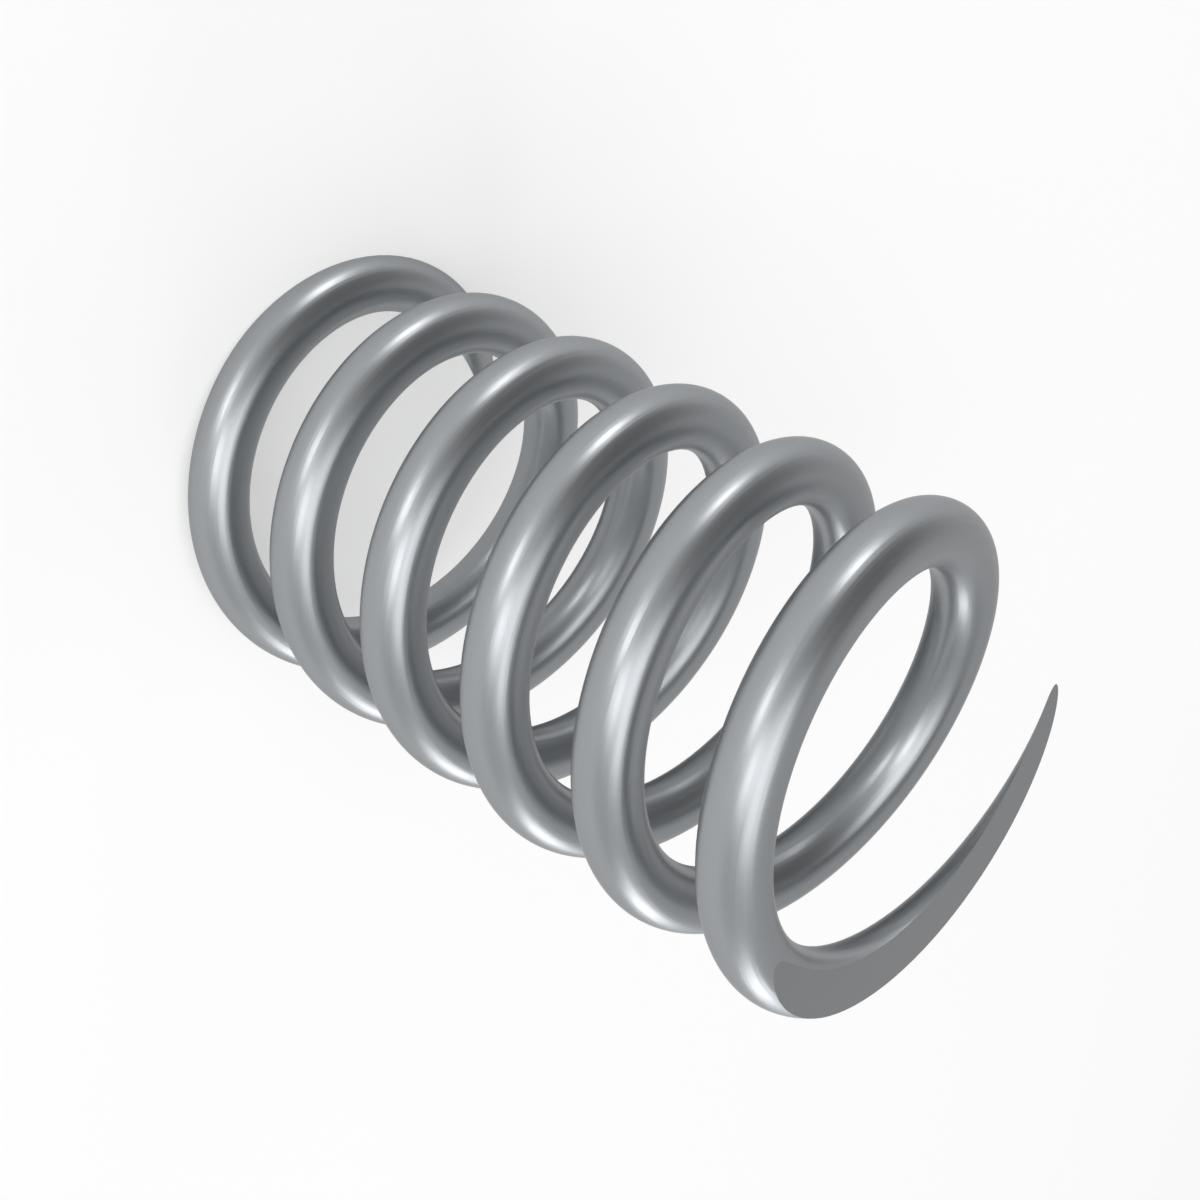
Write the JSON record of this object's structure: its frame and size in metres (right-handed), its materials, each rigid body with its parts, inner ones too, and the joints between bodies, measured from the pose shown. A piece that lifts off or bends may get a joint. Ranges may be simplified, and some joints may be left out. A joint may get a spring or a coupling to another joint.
{
  "type": "compression spring",
  "caption": "Compression spring of round steel wire: an open right-hand coil with both ends ground flat, to push two parts away from each other.",
  "frame": {"origin": "centre of the lower ground end's plane, on the coil's axis", "axes": "+Z along the coil's axis towards the upper end, +X through both tips of the wire"},
  "size_m": [0.015, 0.015, 0.0253],
  "materials": {
    "spring_steel": "satin drawn wire, plain ground ends"
  },
  "bodies": {
    "root": {"spring": "spring_steel"}
  },
  "joints": []
}
